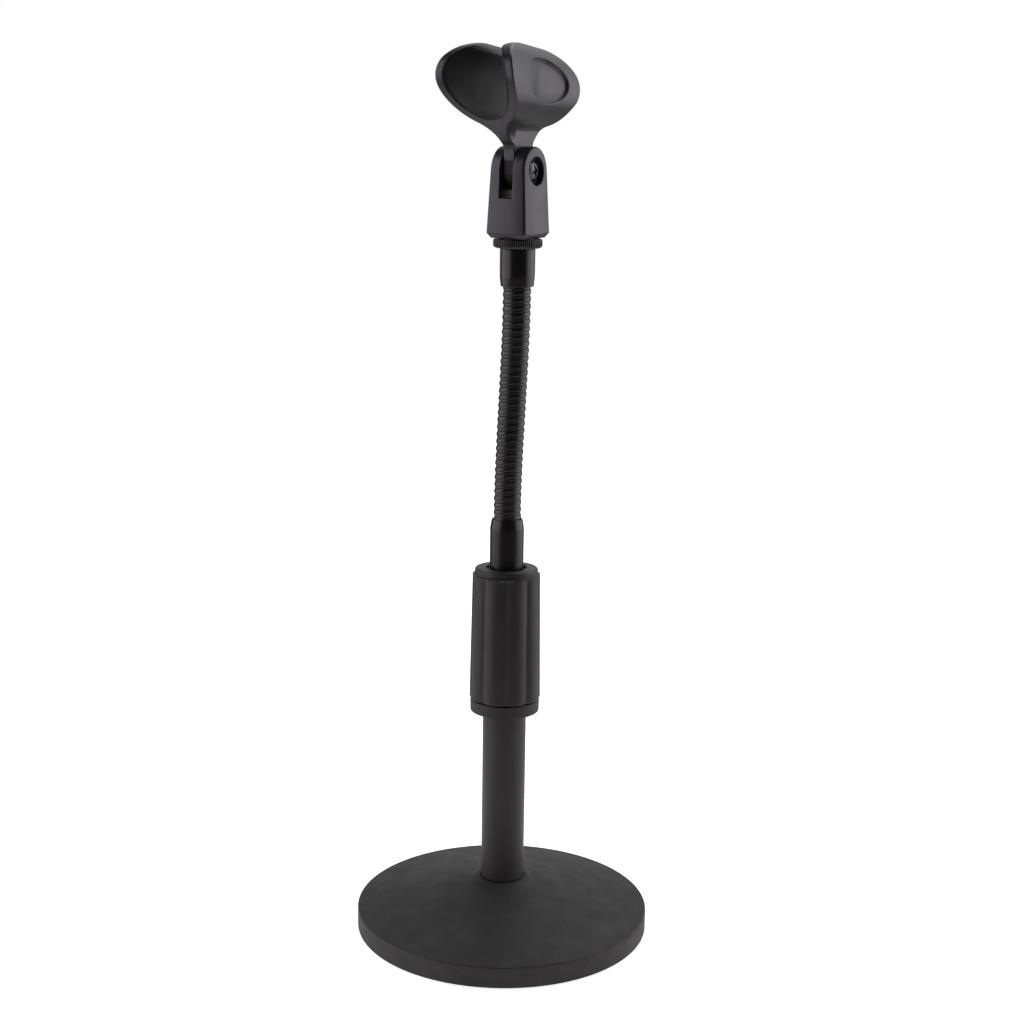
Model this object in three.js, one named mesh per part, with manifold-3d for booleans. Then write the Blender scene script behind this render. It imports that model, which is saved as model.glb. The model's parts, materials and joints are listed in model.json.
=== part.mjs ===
// Desktop microphone stand: a weighted round base, a telescopic pole with a twist clutch,
// a flexible gooseneck, and a tilting clip for a hand-held microphone.
// Millimetres, +Z up. The origin is the centre of the base's underside.
// The clip faces -Y at rest, and its pivot screw lies along X with the head on the +X side.

import * as THREE from 'three';
import { mergeVertices } from 'three/addons/utils/BufferGeometryUtils.js';
import Module from 'manifold-3d';

const wasm = await Module();
wasm.setup();

// ---------------------------------------------------------------- driving dimensions

const GAP = 0.3; // clearance between neighbouring pieces
const THROUGH = 60; // length of a tool that cuts right through a piece

// base
const BASE_RADIUS = 70;
const BASE_RIM_TOP = 10.4;
const BASE_CROWN_TOP = 24.5;
const RIM_FILLET = 0.8;
const PAD_PROUD = 0.5; // how far the rubber pad stands out below the casting
const PAD_THICKNESS = 2.0;
const PAD_OUTER_RADIUS = 64;
const PAD_INNER_RADIUS = 15;
const HUB_RADIUS = 22; // the casting is hollow below, from the hub out to its rim
const HOLLOW_RADIUS = 58;
const HOLLOW_TOP_AT_HUB = 8.5;
const HOLLOW_TOP_AT_RIM = 5.5;
const BOLT_RADIUS = 4;
const BOLT_HEAD_RADIUS = 7.2;
const BOLT_HEAD_HEIGHT = 4;
const BOLT_TOP = 20.5;
const WASHER_RADIUS = 9.5;
const WASHER_THICKNESS = 1.6;

// pole
const POLE_RADIUS = 10.3;
const POLE_WALL = 1.2;
const POLE_FOOT = 14.2;
const POLE_TOP = 132;
const PLUG_TOP = 22; // below the guide bush at its lowest
const TUBE_RADIUS = 7.95;
const TUBE_WALL = 1.2;
const TUBE_FOOT = 40;
const TUBE_TOP = 200.6;
const TUBE_TAPER = 4.6; // length of the tube's drawn-in mouth
const BUSH_HEIGHT = 14;

// clutch
const RING_RADIUS = 16.45;
const RING_BOTTOM = 107.9;
const RING_TOP = 113.7;
const SLEEVE_THREAD_RADIUS = 13.2;
const SLEEVE_TOP = 150;
const COLLET_TOP = 169;
const COLLET_RADIUS = 12.9;
const COLLET_CONE = 4.5; // length of the cone that the nut presses on
const COLLET_SLIT = 1.2;
const NUT_BOTTOM = 114.2;
const NUT_TOP = 177.4;
const NUT_CAP_RADIUS = 14.85;
const NUT_BOTTOM_RADIUS = 17;
const NUT_SHOULDER_RADIUS = 16.05;
const NUT_BORE_RADIUS = 13.6;
const LOBES = 9;
const LOBE_RADIUS = 7.6; // of each lobe's own arc
const GROOVE_HEADING = THREE.MathUtils.degToRad(22); // of one groove between two lobes
const GROOVE_END = 173.4;

// gooseneck
const NECK_RADIUS = 6.43;
const NECK_LEAN = 3.0; // how far the top stands to one side at rest
const NECK_LEAN_HEADING = THREE.MathUtils.degToRad(32); // from +X towards +Y
const HEAD_TILT = THREE.MathUtils.degToRad(4.5); // the head nods at right angles to that lean
const NECK_FOOT = 176; // the neck reaches this far down inside the inner tube
const NECK_HEAD = 320; // and this far up inside the upper ferrule
const NECK_MOUTH_LOW = 200.9;
const NECK_MOUTH_HIGH = 307.9;
const NECK_HINGES = 12;
const FIRST_HINGE = 206;
const LAST_HINGE = 305.5;
const BALL_RADIUS = 7.2;
const BALL_GAP = 0.35;

// upper ferrule, thread adapter
const FERRULE_RADIUS = 8.02;
const FERRULE_MOUTH_RADIUS = 7.55;
const FERRULE_BOTTOM = 308.2;
const FERRULE_TOP = 325.2;
const FERRULE_TAPER = 4.4;
const STUD_RADIUS = 4.7; // 3/8 inch thread
const STUD_TOP = 338;
const ADAPTER_RADIUS = 11.13;
const ADAPTER_BOTTOM = 325.5;
const ADAPTER_FLANGE_TOP = 329.3;
const ADAPTER_THREAD_RADIUS = 7.85; // 5/8 inch thread
const ADAPTER_TOP = 340.5;
const KNURL_TEETH = 40;
const KNURL_DEPTH = 0.3;

// swivel
const SWIVEL_BOTTOM = 329.6;
const SWIVEL_CHAMFER = 2.4;
const PIVOT_HEIGHT = 359.2;
const EAR_RADIUS = 10.6;
const SWIVEL_HALF_WIDTH = 10.65; // along the pivot axis, at the foot
const SWIVEL_HALF_WIDTH_TOP = 8.35;
const SWIVEL_HALF_DEPTH = 10.1; // at the corners, across the pivot axis
const SWIVEL_BULGE = 1.5;
const SLOT_WIDTH = 6.5;
const SLOT_FLOOR = 347.5;
const SCREW_RADIUS = 1.95;
const SCREW_HOLE_RADIUS = 2.3;
const SCREW_HEAD_RADIUS = 4.6;
const SCREW_HEAD_HEIGHT = 2.3;
const SCREW_RECESS_LENGTH = 4.4;
const SCREW_RECESS_WIDTH = 0.9;
const SCREW_RECESS_DEPTH = 1.4;
const COUNTERBORE_RADIUS = 6.25;
const COUNTERBORE_FLOOR = 6.3; // distance from the middle of the slot
const PIVOT_NUT_RADIUS = 4.1;
const PIVOT_NUT_HEIGHT = 2.4;

// microphone clip, measured from the pivot: forward, and up
const CUP_FRONT = 44;
const CUP_REAR = -30;
const CUP_RADIUS = 18.15; // above the pivot
const CUP_RADIUS_SLOPE = 0.043; // growth of the radius per millimetre forward
const CUP_AXIS_HEIGHT = 36.35; // above the pivot
const CUP_AXIS_SLOPE = 0.055;
const CUP_WALL = 4.6;
const CUP_MOUTH = 16; // width of the opening between the two leaves
const TONGUE_THICKNESS = 5.9;
const TONGUE_RADIUS = 8.6;
const RECESS_LENGTH = 37.2;
const RECESS_HEIGHT = 18.8;
const RECESS_FORWARD = 5.5;
const RECESS_UP = 38.2;
const RECESS_SLOPE = THREE.MathUtils.degToRad(8);
const RECESS_DEPTH = 1;

// ---------------------------------------------------------------- materials

function material(color, roughness, metalness) {
  return new THREE.MeshStandardMaterial({ color, roughness, metalness });
}

const castPaint = () => material(0x2b2a2c, 0.72, 0.1);
const tubePaint = () => material(0x1e1d1f, 0.42, 0.2);
const mouldedPlastic = () => material(0x2a292c, 0.5, 0);
const blackSteel = () => material(0x1b1a1c, 0.35, 0.6);
const brightSteel = () => material(0x9a9a9e, 0.3, 1);
const softRubber = () => material(0x161616, 0.9, 0);
const paleNylon = () => material(0x8f8d86, 0.6, 0);

// ---------------------------------------------------------------- geometry helpers

// A closed geometry as a manifold-3d solid.
function solid(geometry) {
  const bare = geometry.index ? geometry.toNonIndexed() : geometry.clone();
  bare.deleteAttribute('normal');
  bare.deleteAttribute('uv');
  const merged = mergeVertices(bare, 1e-4);
  const mesh = new wasm.Mesh({
    numProp: 3,
    vertProperties: merged.attributes.position.array,
    triVerts: new Uint32Array(merged.index.array),
  });
  return new wasm.Manifold(mesh);
}

// A manifold-3d solid as a geometry with flat faces.
function geometryOf(body) {
  const mesh = body.getMesh();
  const geometry = new THREE.BufferGeometry();
  geometry.setAttribute('position', new THREE.BufferAttribute(mesh.vertProperties, 3));
  geometry.setIndex(new THREE.BufferAttribute(mesh.triVerts, 1));
  const flat = geometry.toNonIndexed();
  flat.computeVertexNormals();
  return flat;
}

// Turns a profile of [radius, height] pairs about the Z axis.
function turned(profile, segments = 40) {
  const points = profile.map(([radius, height]) => new THREE.Vector2(radius, height));
  return new THREE.LatheGeometry(points, segments).rotateX(Math.PI / 2);
}

// A ring or bush with a plain bore: the profile closes on itself.
function ring(outer, inner, bottom, top, segments = 40) {
  return turned([[inner, bottom], [outer, bottom], [outer, top], [inner, top], [inner, bottom]], segments);
}

// A round bar on the Z axis.
function bar(radius, bottom, top, segments = 32) {
  return turned([[0, bottom], [radius, bottom], [radius, top], [0, top]], segments);
}

function block(width, depth, height, x, y, z) {
  return new THREE.BoxGeometry(width, depth, height).translate(x, y, z);
}

// Extrudes an outline of [forward, up] points along X, centred on x = 0. Forward is -Y.
function sideExtrusion(points, width) {
  const shape = new THREE.Shape(points.map(([forward, up]) => new THREE.Vector2(forward, up)));
  const geometry = new THREE.ExtrudeGeometry(shape, { depth: width, bevelEnabled: false });
  geometry.translate(0, 0, -width / 2);
  return geometry.rotateX(Math.PI / 2).rotateZ(-Math.PI / 2);
}

// Extrudes an outline of [x, up] points along Y, centred on y = 0.
function frontExtrusion(points, depth) {
  const shape = new THREE.Shape(points.map(([x, up]) => new THREE.Vector2(x, up)));
  const geometry = new THREE.ExtrudeGeometry(shape, { depth, bevelEnabled: false });
  geometry.translate(0, 0, -depth / 2);
  return geometry.rotateX(Math.PI / 2);
}

// Extrudes an outline of [x, y] points along Z.
function upwardExtrusion(points, bottom, top) {
  const shape = new THREE.Shape(points.map(([x, y]) => new THREE.Vector2(x, y)));
  const geometry = new THREE.ExtrudeGeometry(shape, { depth: top - bottom, bevelEnabled: false });
  return geometry.translate(0, 0, bottom);
}

// Points on an arc, in degrees, both ends included.
function arc(cx, cy, radius, from, to, steps) {
  const points = [];
  for (let i = 0; i <= steps; i += 1) {
    const angle = THREE.MathUtils.degToRad(from + ((to - from) * i) / steps);
    points.push([cx + radius * Math.cos(angle), cy + radius * Math.sin(angle)]);
  }
  return points;
}

// A regular prism on the Z axis, such as a hexagonal head.
function prism(sides, radius, bottom, top) {
  const height = top - bottom;
  const geometry = new THREE.CylinderGeometry(radius, radius, height, sides);
  return geometry.rotateX(Math.PI / 2).translate(0, 0, (bottom + top) / 2);
}

function piece(name, geometry, finish) {
  const mesh = new THREE.Mesh(geometry, finish);
  mesh.name = name;
  return mesh;
}

// ---------------------------------------------------------------- base

const PAD_CEILING = PAD_THICKNESS + GAP;
const WASHER_SEAT = 10.9; // the face inside the casting that the washer is pulled against

function baseCasting() {
  const top = arc(BASE_RADIUS - RIM_FILLET, BASE_RIM_TOP - RIM_FILLET, RIM_FILLET, 0, 77, 2);
  const profile = [
    [BOLT_RADIUS + GAP, WASHER_SEAT],
    [PAD_INNER_RADIUS - 3, WASHER_SEAT],
    [PAD_INNER_RADIUS - 3, PAD_PROUD],
    [PAD_INNER_RADIUS - GAP, PAD_PROUD],
    [PAD_INNER_RADIUS - GAP, PAD_CEILING],
    [HUB_RADIUS, PAD_CEILING],
    [HUB_RADIUS, HOLLOW_TOP_AT_HUB],
    [HOLLOW_RADIUS, HOLLOW_TOP_AT_RIM],
    [HOLLOW_RADIUS, PAD_CEILING],
    [PAD_OUTER_RADIUS + GAP, PAD_CEILING],
    [PAD_OUTER_RADIUS + GAP, PAD_PROUD],
    [BASE_RADIUS, PAD_PROUD],
    ...top,
    [13.2, BASE_CROWN_TOP - 0.9],
    [12.2, BASE_CROWN_TOP - 0.2],
    [POLE_RADIUS + 1.2, BASE_CROWN_TOP],
    [POLE_RADIUS + GAP, BASE_CROWN_TOP],
    [POLE_RADIUS + GAP, POLE_FOOT - GAP],
    [BOLT_RADIUS + GAP, POLE_FOOT - GAP],
    [BOLT_RADIUS + GAP, WASHER_SEAT],
  ];
  return piece('base_casting', turned(profile, 64), castPaint());
}

function basePad() {
  const geometry = ring(PAD_OUTER_RADIUS, PAD_INNER_RADIUS, 0, PAD_THICKNESS, 48);
  return piece('base_pad', geometry, softRubber());
}

function baseWasher() {
  const top = WASHER_SEAT - GAP;
  const geometry = ring(WASHER_RADIUS, BOLT_RADIUS + GAP, top - WASHER_THICKNESS, top, 32);
  return piece('base_washer', geometry, brightSteel());
}

function baseLockWasher() {
  const top = WASHER_SEAT - WASHER_THICKNESS - 2 * GAP;
  const whole = solid(ring(BOLT_HEAD_RADIUS - 0.4, BOLT_RADIUS + GAP, top - WASHER_THICKNESS, top, 32));
  const slit = solid(block(6, 1, 4, BOLT_RADIUS + 2.5, 0, top));
  return piece('base_lock_washer', geometryOf(whole.subtract(slit)), brightSteel());
}

function baseBolt() {
  const seat = WASHER_SEAT - 2 * WASHER_THICKNESS - 3 * GAP;
  const head = solid(prism(6, BOLT_HEAD_RADIUS, seat - BOLT_HEAD_HEIGHT, seat));
  const shank = solid(bar(BOLT_RADIUS, seat - 1, BOLT_TOP, 24));
  return piece('base_bolt', geometryOf(head.add(shank)), brightSteel());
}

// ---------------------------------------------------------------- pole

function outerTube() {
  const geometry = ring(POLE_RADIUS, POLE_RADIUS - POLE_WALL, POLE_FOOT, POLE_TOP, 40);
  return piece('outer_tube', geometry, tubePaint());
}

function tubeEndPlug() {
  const outer = POLE_RADIUS - POLE_WALL - GAP;
  return piece('tube_end_plug', ring(outer, BOLT_RADIUS + GAP, POLE_FOOT, PLUG_TOP, 32), brightSteel());
}

function innerTube() {
  const inner = TUBE_RADIUS - TUBE_WALL;
  const taperStart = TUBE_TOP - TUBE_TAPER;
  const profile = [
    [inner, TUBE_FOOT],
    [TUBE_RADIUS, TUBE_FOOT],
    [TUBE_RADIUS, taperStart],
    [TUBE_RADIUS - 0.15, taperStart + 2],
    [TUBE_RADIUS - 0.5, TUBE_TOP - 0.6],
    [TUBE_RADIUS - 0.85, TUBE_TOP],
    [inner, TUBE_TOP],
    [inner, TUBE_FOOT],
  ];
  return piece('inner_tube', turned(profile, 36), tubePaint());
}

// A plastic cup on the foot of the inner tube that guides it in the outer one.
function guideBush() {
  const outer = POLE_RADIUS - POLE_WALL - 0.25;
  const inner = TUBE_RADIUS + GAP;
  const floorTop = TUBE_FOOT - GAP;
  const profile = [
    [4, floorTop - 2],
    [outer, floorTop - 2],
    [outer, TUBE_FOOT + BUSH_HEIGHT],
    [inner, TUBE_FOOT + BUSH_HEIGHT],
    [inner, floorTop],
    [4, floorTop],
    [4, floorTop - 2],
  ];
  return piece('guide_bush', turned(profile, 32), paleNylon());
}

// ---------------------------------------------------------------- clutch

const COLLET_BORE = TUBE_RADIUS + GAP;

// The ring and threaded barrel fixed on the head of the outer tube.
function clutchSleeve() {
  const bore = POLE_RADIUS + GAP;
  const step = POLE_TOP + GAP;
  const profile = [
    [bore, RING_BOTTOM],
    [RING_RADIUS - 0.5, RING_BOTTOM],
    [RING_RADIUS, RING_BOTTOM + 0.5],
    [RING_RADIUS, RING_TOP - 0.3],
    [RING_RADIUS - 0.3, RING_TOP],
    [SLEEVE_THREAD_RADIUS, RING_TOP],
    [SLEEVE_THREAD_RADIUS, SLEEVE_TOP],
    [COLLET_BORE + 1.5, SLEEVE_TOP],
    [COLLET_BORE, SLEEVE_TOP - 1.5],
    [COLLET_BORE, step],
    [bore, step],
    [bore, RING_BOTTOM],
  ];
  return piece('clutch_sleeve', turned(profile, 40), mouldedPlastic());
}

// The slit nylon ring that the nut squeezes onto the inner tube.
function splitCollet() {
  const bottom = SLEEVE_TOP + GAP;
  const profile = [
    [COLLET_BORE, bottom],
    [COLLET_RADIUS, bottom],
    [COLLET_RADIUS, COLLET_TOP - COLLET_CONE],
    [COLLET_BORE + 1.2, COLLET_TOP],
    [COLLET_BORE, COLLET_TOP],
    [COLLET_BORE, bottom],
  ];
  const slit = block(10, COLLET_SLIT, 40, COLLET_BORE + 3, 0, bottom + 10);
  const body = solid(turned(profile, 32)).subtract(solid(slit));
  return piece('split_collet', geometryOf(body), paleNylon());
}

// Radius of the nut's outside at a height and an angle: a tapering body of convex lobes, whose
// grooves run out at the shoulder, then a rounded shoulder and a plain round cap.
function nutRadius(height, angle) {
  const share = (height - NUT_BOTTOM) / (GROOVE_END - NUT_BOTTOM);
  const plain = THREE.MathUtils.lerp(NUT_BOTTOM_RADIUS, NUT_SHOULDER_RADIUS, share);
  const pitch = (2 * Math.PI) / LOBES;
  const offCentre = THREE.MathUtils.euclideanModulo(angle - GROOVE_HEADING, pitch) - pitch / 2;
  const centre = plain - LOBE_RADIUS;
  const sideways = centre * Math.sin(offCentre);
  const lobed = centre * Math.cos(offCentre) + Math.sqrt(LOBE_RADIUS ** 2 - sideways ** 2);
  const runOut = THREE.MathUtils.clamp((GROOVE_END - height) / 2, 0, 1);
  return THREE.MathUtils.lerp(plain, lobed, runOut);
}

const nutCapProfile = [
  [NUT_SHOULDER_RADIUS - 0.4, GROOVE_END + 0.8],
  [NUT_CAP_RADIUS, NUT_TOP - 2.8],
  [NUT_CAP_RADIUS, NUT_TOP - 1],
  [NUT_CAP_RADIUS - 0.4, NUT_TOP - 0.3],
  [NUT_CAP_RADIUS - 1.1, NUT_TOP],
];

// The nut's outer body: rings of points around the axis, closed by a flat end at each side.
function nutBlank() {
  const around = LOBES * 10;
  const heights = [NUT_BOTTOM, 130, 150, GROOVE_END - 2, GROOVE_END - 1, GROOVE_END];
  const rings = heights.map((height) => [height, (angle) => nutRadius(height, angle)]);
  nutCapProfile.forEach(([radius, height]) => rings.push([height, () => radius]));
  const positions = [];
  for (const [height, radiusAt] of rings) {
    for (let i = 0; i < around; i += 1) {
      const angle = GROOVE_HEADING + (2 * Math.PI * i) / around;
      const radius = radiusAt(angle);
      positions.push(radius * Math.cos(angle), radius * Math.sin(angle), height);
    }
  }
  const low = positions.length / 3;
  positions.push(0, 0, NUT_BOTTOM);
  positions.push(0, 0, NUT_TOP);
  const faces = [];
  for (let i = 0; i < around; i += 1) {
    const next = (i + 1) % around;
    for (let j = 0; j + 1 < rings.length; j += 1) {
      const a = j * around;
      const b = a + around;
      faces.push(a + i, a + next, b + next);
      faces.push(a + i, b + next, b + i);
    }
    const last = (rings.length - 1) * around;
    faces.push(low, next, i);
    faces.push(low + 1, last + i, last + next);
  }
  const geometry = new THREE.BufferGeometry();
  geometry.setAttribute('position', new THREE.Float32BufferAttribute(positions, 3));
  geometry.setIndex(faces);
  return geometry;
}

function lockNut() {
  const cone = COLLET_TOP - COLLET_CONE;
  const bore = [
    [0, NUT_BOTTOM - 1],
    [NUT_BORE_RADIUS, NUT_BOTTOM - 1],
    [NUT_BORE_RADIUS, cone + 0.4],
    [COLLET_BORE + 1.5, COLLET_TOP + 0.8],
    [COLLET_BORE + 1.5, NUT_TOP - 5.4],
    [COLLET_BORE, NUT_TOP - 4.4],
    [COLLET_BORE, NUT_TOP - 1.2],
    [COLLET_BORE + 1.2, NUT_TOP - 1.2],
    [COLLET_BORE + 1.2, NUT_TOP + 1],
    [0, NUT_TOP + 1],
  ];
  const body = solid(nutBlank()).subtract(solid(turned(bore, 36)));
  return piece('lock_nut', geometryOf(body), mouldedPlastic());
}

// ---------------------------------------------------------------- gooseneck

const leanSide = new THREE.Vector3(Math.cos(NECK_LEAN_HEADING), Math.sin(NECK_LEAN_HEADING), 0);
const nodSide = new THREE.Vector3(Math.sin(NECK_LEAN_HEADING), -Math.cos(NECK_LEAN_HEADING), 0);

// Where the neck's centre line is at a height: a soft S to one side, and at right angles
// to it an even curve that ends at the head's tilt.
function neckPoint(height) {
  const span = NECK_MOUTH_HIGH - NECK_MOUTH_LOW;
  const share = (height - NECK_MOUTH_LOW) / span;
  const lean = NECK_LEAN * THREE.MathUtils.smoothstep(share, 0, 1);
  const nod = 0.5 * span * Math.tan(HEAD_TILT) * share * share;
  const point = new THREE.Vector3(0, 0, height);
  return point.addScaledVector(leanSide, lean).addScaledVector(nodSide, nod);
}

function hingePoint(index) {
  const spacing = (LAST_HINGE - FIRST_HINGE) / (NECK_HINGES - 1);
  return neckPoint(FIRST_HINGE + spacing * index);
}

// Arc of a ball centred on the axis, from straight below its centre out to the neck's radius.
function ballArc(centre, radius) {
  const reach = THREE.MathUtils.radToDeg(Math.asin(NECK_RADIUS / radius));
  return arc(0, centre, radius, -90, -90 + reach, 3).map(([x, y], i) => [i === 0 ? 0 : x, y]);
}

// A profile from the middle of the bottom, out to the neck's side, and back over the top.
function neckProfile(bottom, top) {
  return [...bottom, ...top.reverse()];
}

// A link's ball turns in the socket of the link below, about the hinge at its own centre.
function neckLink(index) {
  const start = hingePoint(index);
  const along = hingePoint(index + 1).sub(start);
  const socket = ballArc(along.length(), BALL_RADIUS + BALL_GAP);
  const profile = neckProfile(ballArc(0, BALL_RADIUS), socket);
  const number = String(index + 1).padStart(2, '0');
  const mesh = piece(`gooseneck_link_${number}`, turned(profile, 24), blackSteel());
  mesh.position.copy(start);
  mesh.quaternion.setFromUnitVectors(new THREE.Vector3(0, 0, 1), along.normalize());
  return mesh;
}

function neckLowerEnd() {
  const first = hingePoint(0);
  const foot = NECK_FOOT - first.z;
  const profile = neckProfile([[0, foot], [NECK_RADIUS, foot]], ballArc(0, BALL_RADIUS + BALL_GAP));
  const mesh = piece('gooseneck_lower_end', turned(profile, 24), blackSteel());
  mesh.position.copy(first);
  return mesh;
}

function neckUpperEnd() {
  const top = NECK_HEAD - LAST_HINGE;
  const profile = neckProfile(ballArc(0, BALL_RADIUS), [[0, top], [NECK_RADIUS, top]]);
  return piece('gooseneck_upper_end', turned(profile, 24).translate(0, 0, LAST_HINGE), blackSteel());
}

// ---------------------------------------------------------------- ferrule and adapter

function upperFerrule() {
  const bore = NECK_RADIUS + GAP;
  const profile = [
    [bore, FERRULE_BOTTOM],
    [FERRULE_MOUTH_RADIUS - 0.3, FERRULE_BOTTOM],
    [FERRULE_MOUTH_RADIUS, FERRULE_BOTTOM + 0.4],
    [FERRULE_RADIUS, FERRULE_BOTTOM + FERRULE_TAPER],
    [FERRULE_RADIUS, FERRULE_TOP - 0.3],
    [FERRULE_RADIUS - 0.3, FERRULE_TOP],
    [STUD_RADIUS, FERRULE_TOP],
    [STUD_RADIUS, STUD_TOP - 1],
    [STUD_RADIUS - 1, STUD_TOP],
    [0, STUD_TOP],
  ];
  const blank = solid(turned([[0, FERRULE_BOTTOM], ...profile], 36));
  const socket = solid(bar(bore, FERRULE_BOTTOM - 1, NECK_HEAD + GAP, 36));
  return piece('upper_ferrule', geometryOf(blank.subtract(socket)), tubePaint());
}

// Round nut with a knurled flange; its outer thread carries the swivel.
function threadAdapter() {
  const teeth = [];
  for (let i = 0; i < 2 * KNURL_TEETH; i += 1) {
    const angle = (Math.PI * i) / KNURL_TEETH;
    const radius = ADAPTER_RADIUS - (i % 2) * KNURL_DEPTH;
    teeth.push([radius * Math.cos(angle), radius * Math.sin(angle)]);
  }
  const knurled = upwardExtrusion(teeth, ADAPTER_BOTTOM, ADAPTER_FLANGE_TOP);
  const envelope = turned([
    [0, ADAPTER_BOTTOM],
    [ADAPTER_RADIUS - 1, ADAPTER_BOTTOM],
    [ADAPTER_RADIUS + 0.1, ADAPTER_BOTTOM + 1],
    [ADAPTER_RADIUS + 0.1, ADAPTER_FLANGE_TOP],
    [0, ADAPTER_FLANGE_TOP],
  ]);
  const barrel = turned([
    [0, ADAPTER_BOTTOM + 1],
    [ADAPTER_THREAD_RADIUS, ADAPTER_BOTTOM + 1],
    [ADAPTER_THREAD_RADIUS, ADAPTER_TOP - 1],
    [ADAPTER_THREAD_RADIUS - 1, ADAPTER_TOP],
    [0, ADAPTER_TOP],
  ]);
  const bore = bar(STUD_RADIUS + GAP, ADAPTER_BOTTOM - 1, ADAPTER_TOP + 1);
  const flange = solid(knurled).intersect(solid(envelope));
  const body = flange.add(solid(barrel)).subtract(solid(bore));
  return piece('thread_adapter', geometryOf(body), blackSteel());
}

// ---------------------------------------------------------------- swivel

// Height measured from the pivot; the swivel, its screw and the clip are drawn about it.
const fromPivot = (height) => height - PIVOT_HEIGHT;

// A fork with rounded ears, four-sided in plan with bowed front and back.
function swivelBody() {
  const foot = fromPivot(SWIVEL_BOTTOM);
  const chamfer = foot + SWIVEL_CHAMFER;
  const halfDepth = SWIVEL_HALF_DEPTH + SWIVEL_BULGE;
  const halfWidth = SWIVEL_HALF_WIDTH;
  const side = [
    [-halfDepth + 1.8, foot],
    [halfDepth - 1.8, foot],
    [halfDepth, chamfer],
    ...arc(0, 0, EAR_RADIUS, 4, 176, 20),
    [-halfDepth, chamfer],
  ];
  const front = [
    [-halfWidth + 1.8, foot],
    [halfWidth - 1.8, foot],
    [halfWidth, chamfer],
    [SWIVEL_HALF_WIDTH_TOP, EAR_RADIUS + 0.5],
    [-SWIVEL_HALF_WIDTH_TOP, EAR_RADIUS + 0.5],
    [-halfWidth, chamfer],
  ];
  const bowRadius = (halfWidth * halfWidth + SWIVEL_BULGE * SWIVEL_BULGE) / (2 * SWIVEL_BULGE);
  const bowAngle = THREE.MathUtils.radToDeg(Math.asin(halfWidth / bowRadius));
  const bow = arc(0, halfDepth - bowRadius, bowRadius, 90 - bowAngle, 90 + bowAngle, 10);
  const column = upwardExtrusion([...bow, ...bow.map(([x, y]) => [-x, -y])], foot - 1, EAR_RADIUS + 1);
  const slot = block(SLOT_WIDTH, THROUGH, THROUGH, 0, 0, fromPivot(SLOT_FLOOR) + THROUGH / 2);
  const thread = bar(ADAPTER_THREAD_RADIUS + GAP, foot - 1, fromPivot(ADAPTER_TOP) + GAP, 40);
  const hole = bar(SCREW_HOLE_RADIUS, -THROUGH / 2, THROUGH / 2, 24).rotateY(Math.PI / 2);
  const counterbore = bar(COUNTERBORE_RADIUS, COUNTERBORE_FLOOR, THROUGH, 40).rotateY(Math.PI / 2);
  const nutPocket = prism(6, PIVOT_NUT_RADIUS + 0.4, -THROUGH, -COUNTERBORE_FLOOR).rotateY(Math.PI / 2);
  let body = solid(sideExtrusion(side, THROUGH)).intersect(solid(frontExtrusion(front, THROUGH)));
  body = body.intersect(solid(column));
  for (const cut of [slot, thread, hole, counterbore, nutPocket]) body = body.subtract(solid(cut));
  return piece('swivel_body', geometryOf(body), mouldedPlastic());
}

// Pan-head screw with a cross recess, along X through both ears.
function pivotScrew() {
  const seat = COUNTERBORE_FLOOR + GAP;
  const crown = seat + SCREW_HEAD_HEIGHT;
  const profile = [
    [0, -COUNTERBORE_FLOOR - PIVOT_NUT_HEIGHT - GAP],
    [SCREW_RADIUS, -COUNTERBORE_FLOOR - PIVOT_NUT_HEIGHT - GAP],
    [SCREW_RADIUS, seat],
    [SCREW_HEAD_RADIUS, seat],
    [SCREW_HEAD_RADIUS, crown - 1.1],
    [SCREW_HEAD_RADIUS * 0.88, crown - 0.5],
    [SCREW_HEAD_RADIUS * 0.5, crown - 0.1],
    [0, crown],
  ];
  const cutterHeight = 3;
  const cutterMiddle = crown - SCREW_RECESS_DEPTH + cutterHeight / 2;
  const arm = block(SCREW_RECESS_LENGTH, SCREW_RECESS_WIDTH, cutterHeight, 0, 0, cutterMiddle);
  const crossArm = arm.clone().rotateZ(Math.PI / 2);
  const body = solid(turned(profile, 32)).subtract(solid(arm)).subtract(solid(crossArm));
  return piece('pivot_screw', geometryOf(body).rotateY(Math.PI / 2), brightSteel());
}

function pivotNut() {
  const face = -COUNTERBORE_FLOOR - GAP;
  const blank = solid(prism(6, PIVOT_NUT_RADIUS, face - PIVOT_NUT_HEIGHT, face));
  const bore = solid(bar(SCREW_RADIUS + GAP, -THROUGH, 0, 24));
  return piece('pivot_nut', geometryOf(blank.subtract(bore)).rotateY(Math.PI / 2), brightSteel());
}

// ---------------------------------------------------------------- microphone clip

// The clip seen from its side, as [forward, up] points: a round tongue at the pivot,
// a waisted neck, and an egg-shaped outline whose rims lean back at the top and the bottom.
function clipOutline() {
  const rim = new THREE.SplineCurve([
    [8.3, 5], [8.7, 10.2], [12.0, 13.2], [21.7, 21.1], [30.9, 29.6], [36.2, 36.9], [36.9, 43.3], [33.9, 48.5],
    [26, 52.6], [14, 53.8], [2, 53.0], [-9, 50.5], [-17.2, 45.4], [-22.6, 38.6], [-22.8, 30.6], [-19.2, 25.3],
    [-15.2, 19.4], [-9.7, 14.4], [-7.0, 10.6], [-8.0, 4],
  ].map(([forward, up]) => new THREE.Vector2(forward, up)));
  const tongue = arc(0, 0, TONGUE_RADIUS, 180 + 8, 360 - 8, 12);
  return [...rim.getPoints(48).map((point) => [point.x, point.y]), ...tongue];
}

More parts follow.
